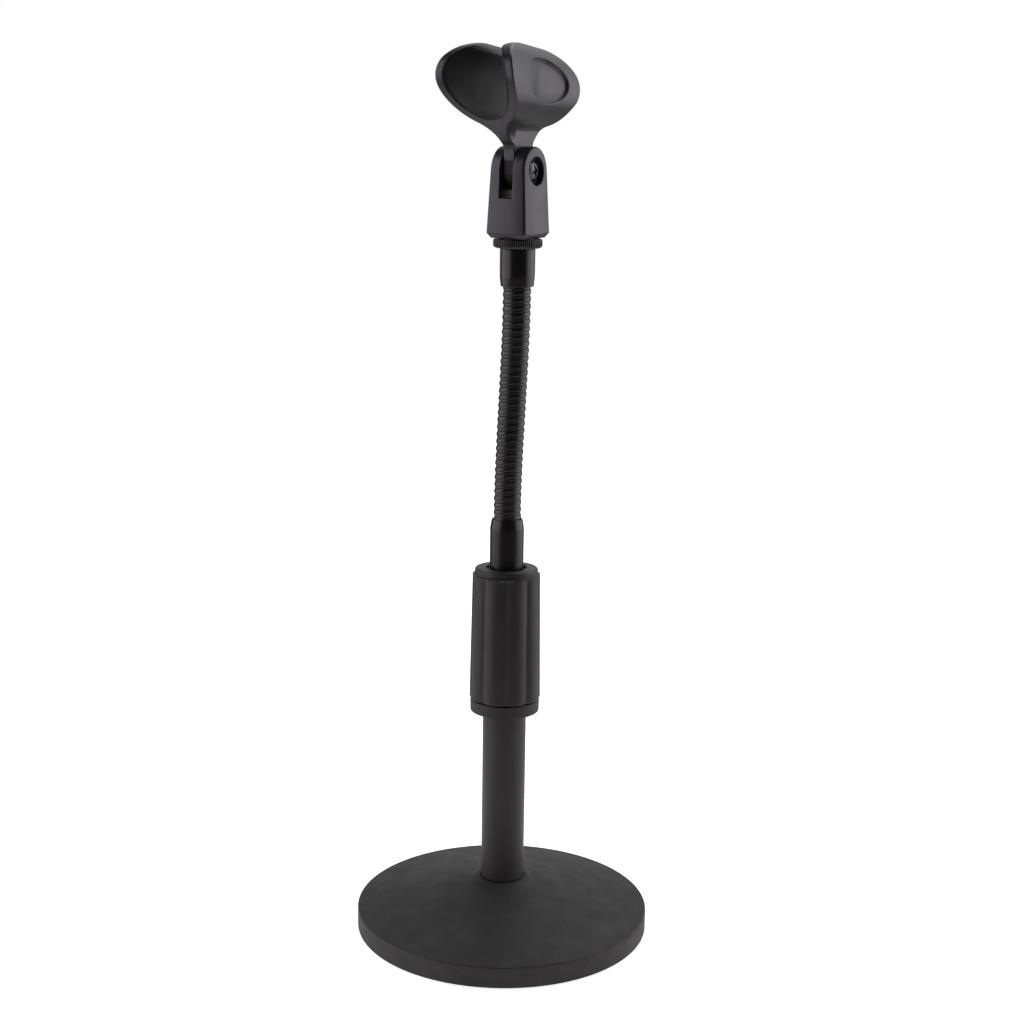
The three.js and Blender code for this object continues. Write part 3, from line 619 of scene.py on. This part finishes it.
def lock_nut():
    collar = TUBE_RADIUS + GAP
    cone = SLEEVE_TOP + 14.9
    body = [(NUT_RADIUS_LOW - 0.35, NUT_BOTTOM, 0), (NUT_RADIUS_LOW - 0.1, NUT_BOTTOM + 0.12, 0)]
    groove_length = GROOVE_END - NUT_BOTTOM
    heights = [0.35, 1, 10, 25, 40, *np.arange(groove_length - 4, groove_length + 0.1, 0.25)]
    for height in heights:
        share = height / groove_length
        radius = NUT_RADIUS_LOW + (NUT_RADIUS_HIGH - NUT_RADIUS_LOW) * share
        body.append((radius, NUT_BOTTOM + height, 0))
    cap = NUT_TOP - NUT_CAP_HEIGHT
    corners = [
        (NUT_BORE, NUT_BOTTOM, 0),
        *body,
        (NUT_RADIUS_HIGH - 0.7, cap - 0.1, 0.2),
        (NUT_CAP_RADIUS, cap + 0.1, 0.2),
        (NUT_CAP_RADIUS, NUT_TOP, 1.0),
        (collar + 1.3, NUT_TOP, 0.3),
        (collar + 1.2, NUT_TOP - 1.2, 0.1),
        (collar, NUT_TOP - 1.2, 0.1),
        (collar, NUT_TOP - 4.4, 0),
        (collar + 1.5, NUT_TOP - 5.4, 0),
        (collar + 1.5, cone + 4.9, 0),
        (NUT_BORE, cone, 0),
    ]
    shape = turned(corners, LOBES * 32, lobed)
    piece("grip_nut", shape, grip_plastic, "lock_nut", ["lock_nut"], sharp_angle=50)


# ---------------------------------------------------------------- gooseneck

hinge_names = []
for number in range(1, 7):
    suffix = "" if number == 1 else f"_{number}"
    hinge_names += ["neck_nod" + suffix, "neck_lean" + suffix]
hinges = np.array([joint_point(name) for name in hinge_names])

# The neck's centre line is a cubic in height through its hinges, straight below the first one.
centre_line = [np.polyfit(hinges[:, 2], hinges[:, k], 3) for k in (0, 1)]


def neck_centre(height):
    above = np.maximum(height, hinges[0, 2])
    return np.stack([*(np.polyval(curve, above) for curve in centre_line), height], -1)


def wound_wire(section, start, end, offset):
    """One wire's turns between two heights, as a closed bar that follows the neck's centre line.
    section is a loop of (radius, height) points, and offset its place in the pitch."""
    steps = round((end - start) / COIL_PITCH * STEPS_PER_TURN)
    height = np.linspace(start, end, steps + 1)[:, None]
    angle = 2 * math.pi * (height / COIL_PITCH - offset)
    level = height + section[:, 1]
    points = neck_centre(level)
    points[..., 0] += section[:, 0] * np.cos(angle)
    points[..., 1] += section[:, 0] * np.sin(angle)
    width = len(section)
    faces = []
    for step in range(steps):
        for k in range(width):
            here = step * width
            following = (k + 1) % width
            faces.append((here + k, here + width + k, here + width + following, here + following))
    faces.append(tuple(range(width)))
    faces.append(tuple(steps * width + k for k in reversed(range(width))))
    return points.reshape(-1, 3), faces


def band_section():
    across = np.linspace(-1, 1, 13)
    crown = [(NECK_RADIUS - BAND_SAG * abs(a) ** 6, BAND_HALF_WIDTH * a) for a in across]
    inner = [(COIL_INNER_RADIUS, BAND_HALF_WIDTH), (COIL_INNER_RADIUS, -BAND_HALF_WIDTH)]
    return np.array(crown + inner)


def filler_section():
    across = np.linspace(-1, 1, 7)
    top = NECK_RADIUS - FILLER_DEPTH
    crown = [(top - 0.1 * a * a, FILLER_HALF_WIDTH * a) for a in across]
    inner = [(COIL_INNER_RADIUS, FILLER_HALF_WIDTH), (COIL_INNER_RADIUS, -FILLER_HALF_WIDTH)]
    return np.array(crown + inner)


def gooseneck():
    """The wound neck in one stretch for each hinge, from the middle of a link to the middle of
    the next."""
    ferrule_mouth = PIVOT[2] + FERRULE_BOTTOM * head_axis.z
    middles = (hinges[:-1, 2] + hinges[1:, 2]) / 2
    cuts = [TUBE_TOP - 9, *middles, ferrule_mouth + 9]
    last = len(hinges) - 1
    for k in range(len(hinges)):
        band, band_faces = wound_wire(band_section(), cuts[k], cuts[k + 1], 0)
        filler, filler_faces = wound_wire(filler_section(), cuts[k], cuts[k + 1], 0.5)
        moved = [tuple(corner + len(band) for corner in face) for face in filler_faces]
        nodes = [f"gooseneck_link_{k:02d}"] if k else ["gooseneck_lower_end"]
        if k == last:
            nodes.append("gooseneck_upper_end")
        shape = np.concatenate([band, filler]), band_faces + moved
        made = piece(f"neck_coil_{k + 1:02d}", shape, coil_black, None, nodes)
        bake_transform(made)


# ---------------------------------------------------------------- ferrule and adapter

def ferrule():
    """The socket at the gooseneck's head, with its threaded stud."""
    bore = NECK_RADIUS + GAP
    mouth = FERRULE_RADIUS - 0.5
    floor = FERRULE_BOTTOM + 12.2
    corners = [
        (0, floor, 0),
        (bore, floor, 0),
        (bore, FERRULE_BOTTOM, 0.1),
        (mouth, FERRULE_BOTTOM, 0.35),
        (FERRULE_RADIUS, FERRULE_BOTTOM + 4.4, 4),
        (FERRULE_RADIUS, FERRULE_TOP, 0.3),
        (STUD_RADIUS, FERRULE_TOP, 0),
        (STUD_RADIUS, STUD_TOP - 1, 0),
        (STUD_RADIUS - 1, STUD_TOP, 0),
        (0, STUD_TOP, 0),
    ]
    piece("upper_socket", turned(corners), tube_paint, "neck_top", ["upper_ferrule"], HEAD)


def knurled(radius, height, angle):
    """Presses fine upright teeth into the flange's edge, between its chamfers."""
    tooth = np.abs((angle * KNURL_TEETH / (2 * math.pi)) % 1 * 2 - 1)
    between = (height < ADAPTER_TOP - 0.3) & (height > ADAPTER_BOTTOM + 0.4)
    edge = (radius > ADAPTER_RADIUS - 0.3) & between
    return np.where(edge, radius - 0.3 * smooth_share(tooth * 1.4 - 0.2), radius)


def adapter():
    corners = [
        (STUD_RADIUS + GAP, ADAPTER_BOTTOM, 0),
        (ADAPTER_RADIUS - 0.9, ADAPTER_BOTTOM, 0.15),
        (ADAPTER_RADIUS - 0.1, ADAPTER_BOTTOM + 0.7, 0),
        (ADAPTER_RADIUS, ADAPTER_BOTTOM + 0.9, 0),
        (ADAPTER_RADIUS, ADAPTER_BOTTOM + 2, 0),
        (ADAPTER_RADIUS, ADAPTER_TOP - 0.6, 0),
        (ADAPTER_RADIUS - 0.1, ADAPTER_TOP - 0.35, 0),
        (ADAPTER_RADIUS - 0.5, ADAPTER_TOP, 0),
        (ADAPTER_THREAD_RADIUS, ADAPTER_TOP, 0),
        (ADAPTER_THREAD_RADIUS, ADAPTER_THREAD_TOP - 1, 0),
        (ADAPTER_THREAD_RADIUS - 1, ADAPTER_THREAD_TOP, 0),
        (STUD_RADIUS + GAP, ADAPTER_THREAD_TOP, 0),
    ]
    shape = turned(corners, KNURL_TEETH * 8, knurled)
    piece("knurled_adapter", shape, black_steel, "neck_top", ["thread_adapter"], HEAD)


# ---------------------------------------------------------------- swivel fork
# In the head's own directions x lies along the pivot, forward is -y, and z is up from the pivot.

def arc(radius, start, end, steps):
    turn = np.radians(np.linspace(start, end, steps + 1))
    return [(radius * math.cos(t), radius * math.sin(t)) for t in turn]


def fork_outlines():
    """The fork's side outline as (forward, up) and its front outline as (across, up)."""
    foot, shoulder = SWIVEL_FOOT, SWIVEL_FOOT + FORK_CHAMFER
    inset = 1.8
    side = [
        (-FORK_HALF_DEPTH + inset, foot),
        (FORK_HALF_DEPTH - inset, foot),
        (FORK_HALF_DEPTH, shoulder),
        *arc(EAR_RADIUS, 4, 176, 48),
        (-FORK_HALF_DEPTH, shoulder),
    ]
    front = [
        (-FORK_HALF_WIDTH + inset, foot),
        (FORK_HALF_WIDTH - inset, foot),
        (FORK_HALF_WIDTH, shoulder),
        (FORK_HALF_WIDTH_TOP, EAR_RADIUS + 4),
        (-FORK_HALF_WIDTH_TOP, EAR_RADIUS + 4),
        (-FORK_HALF_WIDTH, shoulder),
    ]
    return np.array(side), np.array(front)


fork_side, fork_front = fork_outlines()


def hexagon(a, b, apothem):
    faces = [np.abs(a * math.cos(t) + b * math.sin(t)) for t in np.radians((0, 60, 120))]
    return np.maximum.reduce(faces) - apothem


def fork_distance(x, y, z):
    bow = FORK_BOW * (x / FORK_HALF_WIDTH) ** 2
    side_bow = FORK_SIDE_BOW * (y / FORK_HALF_DEPTH) ** 2 - FORK_SWELL
    side = outline_distance(fork_side, np.abs(y) + bow, z)
    body = meet_round(side, outline_distance(fork_front, np.abs(x) + side_bow, z), 0.8)
    slot = np.maximum(np.abs(x) - SLOT_HALF_WIDTH, SLOT_FLOOR - z)
    thread = np.maximum(np.hypot(x, y) - ADAPTER_THREAD_RADIUS - GAP, z - ADAPTER_THREAD_TOP - GAP)
    from_pivot = np.hypot(y, z)
    counterbore = np.maximum(from_pivot - COUNTERBORE_RADIUS, COUNTERBORE_FLOOR - x)
    pocket = np.maximum(hexagon(y, z, PIVOT_NUT_APOTHEM + 0.35), COUNTERBORE_FLOOR + x)
    for cut, edge in ((slot, 0.45), (thread, 0.4), (counterbore, 0.35), (pocket, 0.35)):
        body = cut_round(body, cut, edge)
    return cut_round(body, from_pivot - SCREW_RADIUS - 0.35, 0.2)


def fork():
    reach = FORK_HALF_WIDTH + FORK_SWELL
    shape = surface_net(fork_distance, (-reach, -FORK_HALF_DEPTH, SWIVEL_FOOT),
                        (reach, FORK_HALF_DEPTH, EAR_RADIUS), 0.36)
    piece("swivel_fork", shape, moulded_plastic, "swivel", ["swivel_body"], HEAD)


# ---------------------------------------------------------------- pivot screw and its nut

def threaded(x, y, z, radius):
    """A bar along x with a fine thread."""
    wave = np.cos(2 * math.pi * x / SCREW_THREAD_PITCH - np.arctan2(z, y))
    return np.hypot(y, z) - radius + 0.13 - 0.13 * wave


def screw_distance(x, y, z):
    seat = COUNTERBORE_FLOOR + GAP
    crown = seat + SCREW_HEAD_HEIGHT
    end = -COUNTERBORE_FLOOR - PIVOT_NUT_HEIGHT - GAP
    from_axis = np.hypot(y, z)
    dome = np.sqrt((x - crown + SCREW_DOME_RADIUS) ** 2 + y ** 2 + z ** 2) - SCREW_DOME_RADIUS
    head = meet_round(from_axis - SCREW_HEAD_RADIUS, dome, 0.6)
    head = meet_round(head, seat - x, 0.15)
    shank = meet_round(threaded(x, y, z, SCREW_RADIUS), end - x, 0.3)
    body = join_round(head, np.maximum(shank, x - seat - 0.5), 0.1)
    along = y * math.cos(CROSS_TURN) + z * math.sin(CROSS_TURN)
    across = z * math.cos(CROSS_TURN) - y * math.sin(CROSS_TURN)
    sunk = crown - x
    arms = []
    for a, b in ((np.abs(along), np.abs(across)), (np.abs(across), np.abs(along))):
        length = a - CROSS_REACH + 0.35 * sunk
        arms.append(np.maximum(length, b - CROSS_HALF_WIDTH + 0.27 * a + 0.1 * sunk))
    recess = np.maximum(np.minimum(*arms), crown - CROSS_DEPTH - x)
    return cut_round(body, recess, 0.1)


def pivot_nut_distance(x, y, z):
    inner = -COUNTERBORE_FLOOR - GAP
    outer = inner - PIVOT_NUT_HEIGHT
    from_axis = np.hypot(y, z)
    body = np.maximum(hexagon(y, z, PIVOT_NUT_APOTHEM), from_axis - PIVOT_NUT_APOTHEM - 0.4)
    chamfer = (from_axis - PIVOT_NUT_APOTHEM - 0.1) * 0.5 + (outer - x + 0.1) * 0.87
    body = meet_round(meet_round(body, x - inner, 0.1), np.maximum(outer - x, chamfer), 0.1)
    return cut_round(body, from_axis - SCREW_RADIUS - 0.2, 0.2)


def pivot_fasteners():
    reach = SCREW_HEAD_RADIUS
    end = COUNTERBORE_FLOOR + SCREW_HEAD_HEIGHT + 1
    screw = surface_net(screw_distance, (-end, -reach, -reach), (end, reach, reach), 0.12)
    piece("cross_screw", screw, screw_steel, "swivel", ["pivot_screw"], HEAD)
    nut = surface_net(pivot_nut_distance, (-end, -reach, -reach), (-end + 5, reach, reach), 0.13)
    piece("hexagon_nut", nut, plated_steel, "swivel", ["pivot_nut"], HEAD)


# ---------------------------------------------------------------- microphone clip

def smooth_curve(controls, steps):
    """An even curve through given points, with its ends left straight."""
    controls = np.array(controls, float)
    padded = np.vstack([2 * controls[0] - controls[1], controls, 2 * controls[-1] - controls[-2]])
    points = []
    for i in range(len(controls) - 1):
        a, b, c, d = padded[i:i + 4]
        for t in np.arange(steps) / steps:
            points.append(0.5 * (2 * b + (c - a) * t + (2 * a - 5 * b + 4 * c - d) * t ** 2
                                 + (3 * b - a - 3 * c + d) * t ** 3))
    return points + [controls[-1]]


def clip_outline():
    """The clip from its side as (forward, up): a round tongue, a waisted neck and an egg-shaped
    rim that leans back at the top and the bottom."""
    rim = smooth_curve([
        (8.3, 5), (8.7, 10.2), (12.0, 13.2), (21.7, 21.1), (30.9, 29.6), (36.2, 36.9), (36.9, 43.3),
        (33.9, 48.5), (26, 52.6), (14, 53.8), (2, 53.0), (-9, 50.5), (-17.2, 45.4), (-22.6, 38.6),
        (-22.8, 30.6), (-19.2, 25.3), (-15.2, 19.4), (-9.7, 14.4), (-7.0, 10.6), (-8, 4),
    ], 9)
    tongue = arc(8.6, 188, 352, 24)
    return np.array([*rim, *tongue])


clip_side = clip_outline()


def clip_distance(x, y, z):
    forward = -y
    radius = CUP_RADIUS + CUP_RADIUS_SLOPE * forward
    height = z - CUP_HEIGHT - CUP_HEIGHT_SLOPE * forward
    outer = np.hypot(x, height) - radius
    ahead, up = forward - RECESS_CENTRE[0], z - RECESS_CENTRE[1]
    along = ahead * math.cos(RECESS_SLOPE) + up * math.sin(RECESS_SLOPE)
    across = up * math.cos(RECESS_SLOPE) - ahead * math.sin(RECESS_SLOPE)
    share = np.hypot(along / RECESS_HALF_LENGTH, across / RECESS_HALF_HEIGHT)
    ellipse = (share - 1) * RECESS_HALF_HEIGHT
    faded = 1 - smooth_share((along - 4) / (RECESS_HALF_LENGTH - 4))
    pressed = RECESS_DEPTH * faded * smooth_share(-ellipse / 1.1) * (np.abs(x) > MOUTH_HALF_WIDTH)
    fillet = SHOULDER_FILLET + SHOULDER_FLARE * smooth_share((forward - 5 - 0.7 * (z - 14)) / 4)
    body = join_round(outer + pressed, np.abs(x) - TONGUE_HALF_WIDTH, fillet)
    wide, tall = radius - CUP_WALL_SIDE, radius - CUP_WALL_ENDS
    near = np.hypot(x / wide, height / tall)
    inner = near * (near - 1) / np.maximum(np.hypot(x / wide ** 2, height / tall ** 2), 1e-6)
    body = np.maximum(body, -inner)
    mouth = np.maximum(np.abs(x) - MOUTH_HALF_WIDTH, -height)
    body = cut_round(body, mouth, 1.45)
    body = meet_round(body, outline_distance(clip_side, forward, z), 0.55)
    return cut_round(body, np.hypot(y, z) - SCREW_RADIUS - 0.35, 0.2)


def clip():
    front, back = clip_side[:, 0].max(), clip_side[:, 0].min()
    reach = CUP_RADIUS + CUP_RADIUS_SLOPE * front
    shape = surface_net(clip_distance, (-reach, -front, clip_side[:, 1].min()),
                        (reach, -back, clip_side[:, 1].max()), 0.45)
    shell = piece("clip_shell", shape, moulded_plastic, "clip", ["mic_clip"], HEAD)
    # The inside of the cup and the tongue round the pivot get the darker plastic as painted shade, where
    # the cup's hollow and the fork's slot lie in shadow.
    shell.data.materials.append(matt_plastic_painted_shade)
    to_head = HEAD.inverted()
    for face in shell.data.polygons:
        x, y, z = to_head @ face.center / MM
        middle = CUP_HEIGHT - CUP_HEIGHT_SLOPE * y
        inside = math.hypot(x, z - middle) < CUP_RADIUS - CUP_RADIUS_SLOPE * y - 0.7 * CUP_WALL_SIDE
        if inside or math.hypot(y, z) < EAR_RADIUS - 1:
            face.material_index = 1


# ---------------------------------------------------------------- pieces that stay as the frame has them

def hidden_pieces():
    """The pieces inside keep their CAD shape and get a finish."""
    finishes = {
        "base_bolt": plated_steel,
        "base_washer": plated_steel,
        "base_lock_washer": plated_steel,
        "tube_end_plug": plated_steel,
        "split_collet": nylon,
        "guide_bush": nylon,
    }
    for name, finish in finishes.items():
        mesh = frame["nodes"][name].data
        mesh.materials.clear()
        mesh.materials.append(finish)
        mesh.shade_smooth()
        mesh.set_sharp_from_angle(angle=math.radians(30))


# ---------------------------------------------------------------- floor, light and camera

CAMERA_AZIMUTH = math.radians(32)
CAMERA_DISTANCE = 0.7018  # from the base's axis
CAMERA_OFFSET = 0.0022  # to the camera's own right
CAMERA_HEIGHT = 0.3302
CAMERA_PITCH = math.radians(10.22)
CAMERA_ROLL = math.radians(0.85)
CAMERA_LENS = 53.7


def towards(azimuth, distance, height):
    """A place at an azimuth measured from the camera's, round the base's axis."""
    turn = CAMERA_AZIMUTH + math.radians(azimuth)
    return Vector((distance * math.sin(turn), -distance * math.cos(turn), height))


def camera():
    data = bpy.data.cameras.new("camera")
    data.lens = CAMERA_LENS
    made = bpy.data.objects.new("camera", data)
    right = Vector((math.cos(CAMERA_AZIMUTH), math.sin(CAMERA_AZIMUTH), 0))
    made.location = towards(0, CAMERA_DISTANCE, CAMERA_HEIGHT) + right * CAMERA_OFFSET
    ahead = -towards(0, math.cos(CAMERA_PITCH), math.sin(CAMERA_PITCH))
    made.rotation_mode = "QUATERNION"
    made.rotation_quaternion = ahead.to_track_quat("-Z", "Y") @ Quaternion((0, 0, 1), CAMERA_ROLL)
    bpy.context.scene.collection.objects.link(made)
    bpy.context.scene.camera = made


def softbox(name, azimuth, distance, height, width, tall, power, aim=0.22):
    """A rectangular light that faces the base's axis at the height aim, out of the camera's sight."""
    data = bpy.data.lights.new(name, "AREA")
    data.shape = "RECTANGLE"
    data.size, data.size_y = width, tall
    data.energy = power
    made = bpy.data.objects.new(name, data)
    made.location = towards(azimuth, distance, height)
    made.rotation_mode = "QUATERNION"
    made.rotation_quaternion = (Vector((0, 0, aim)) - made.location).to_track_quat("-Z", "Y")
    made.visible_camera = False
    bpy.context.scene.collection.objects.link(made)


def lights():
    softbox("left_softbox", -84, 0.9, 0.6, 1.25, 1.2, 8.8, 0.6)
    softbox("right_softbox", 99, 0.9, 0.62, 1.1, 1.24, 8.8, 0.62)
    softbox("top_softbox", 150, 0.7, 1.6, 1.2, 1.2, 8)
    softbox("back_softbox", 180, 1.6, 0.8, 2.6, 1.6, 9)


def distance_from(tree, place, centre):
    node = tree.nodes.new("ShaderNodeVectorMath")
    node.operation = "DISTANCE"
    node.inputs[1].default_value = centre
    tree.links.new(place, node.inputs[0])
    return node.outputs["Value"]


def surroundings():
    """A white studio: the background shows white, and lights the object only a little."""
    world = bpy.data.worlds.new("studio")
    bpy.context.scene.world = world
    world.use_nodes = True
    tree = world.node_tree
    tree.nodes.clear()
    output = tree.nodes.new("ShaderNodeOutputWorld")
    path = tree.nodes.new("ShaderNodeLightPath")
    mixed = tree.nodes.new("ShaderNodeMixShader")
    shades = []
    for level in (0.05, 1.0):
        shade = tree.nodes.new("ShaderNodeBackground")
        shade.inputs["Color"].default_value = (level, level, level, 1)
        shades.append(shade)
    tree.links.new(path.outputs["Is Camera Ray"], mixed.inputs[0])
    tree.links.new(shades[0].outputs[0], mixed.inputs[1])
    tree.links.new(shades[1].outputs[0], mixed.inputs[2])
    tree.links.new(mixed.outputs[0], output.inputs["Surface"])
    bpy.context.scene.view_settings.view_transform = "Standard"


def floor():
    """A white floor. To the camera it is white all over. What it sends to the object comes from
    a pale patch under and behind the object, brightest beside the base, so that the camera's
    side stays dark."""
    size = 12
    mesh = bpy.data.meshes.new("floor")
    corners = [(-size, -size, 0), (size, -size, 0), (size, size, 0), (-size, size, 0)]
    mesh.from_pydata(corners, [], [(0, 1, 2, 3)])
    material, tree, shader, place = new_material("floor")
    shader.inputs["Base Color"].default_value = (0.8, 0.8, 0.8, 1)
    shader.inputs["Roughness"].default_value = 0.9
    shader.inputs["Specular IOR Level"].default_value = 0.1
    shader.inputs["Emission Color"].default_value = (1, 1, 1, 1)
    from_object = distance_from(tree, place, Vector((0, 0, 0)))
    tree.links.new(spread(tree, from_object, 0.1, 0.35, 0.82, 1.05), shader.inputs["Emission Strength"])
    from_patch = distance_from(tree, place, -towards(0, 0.05, 0))
    patch = tree.nodes.new("ShaderNodeBsdfPrincipled")
    patch.inputs["Roughness"].default_value = 1
    patch.inputs["Specular IOR Level"].default_value = 0
    patch.inputs["Emission Color"].default_value = (1, 1, 1, 1)
    tree.links.new(spread(tree, from_object, 0.1, 0.3, 0.6, 0), patch.inputs["Emission Strength"])
    shade = spread(tree, from_patch, 0.35, 1.0, 0, 1)
    tone = blended_colour(tree, shade, (0.85, 0.83, 0.81), (0.08, 0.08, 0.08))
    tree.links.new(tone, patch.inputs["Base Color"])
    path = tree.nodes.new("ShaderNodeLightPath")
    mixed = tree.nodes.new("ShaderNodeMixShader")
    tree.links.new(path.outputs["Is Camera Ray"], mixed.inputs[0])
    tree.links.new(patch.outputs[0], mixed.inputs[1])
    tree.links.new(shader.outputs[0], mixed.inputs[2])
    tree.links.new(mixed.outputs[0], tree.nodes["Material Output"].inputs["Surface"])
    mesh.materials.append(material)
    made = bpy.data.objects.new("floor", mesh)
    made.location.z = pad_low[2] * MM - 0.0002
    bpy.context.scene.collection.objects.link(made)


# ---------------------------------------------------------------- the whole scene

camera()
lights()
surroundings()
floor()
base()
pad()
pole()
telescoping_tube()
clutch_ring()
lock_nut()
gooseneck()
ferrule()
adapter()
fork()
pivot_fasteners()
clip()
hidden_pieces()
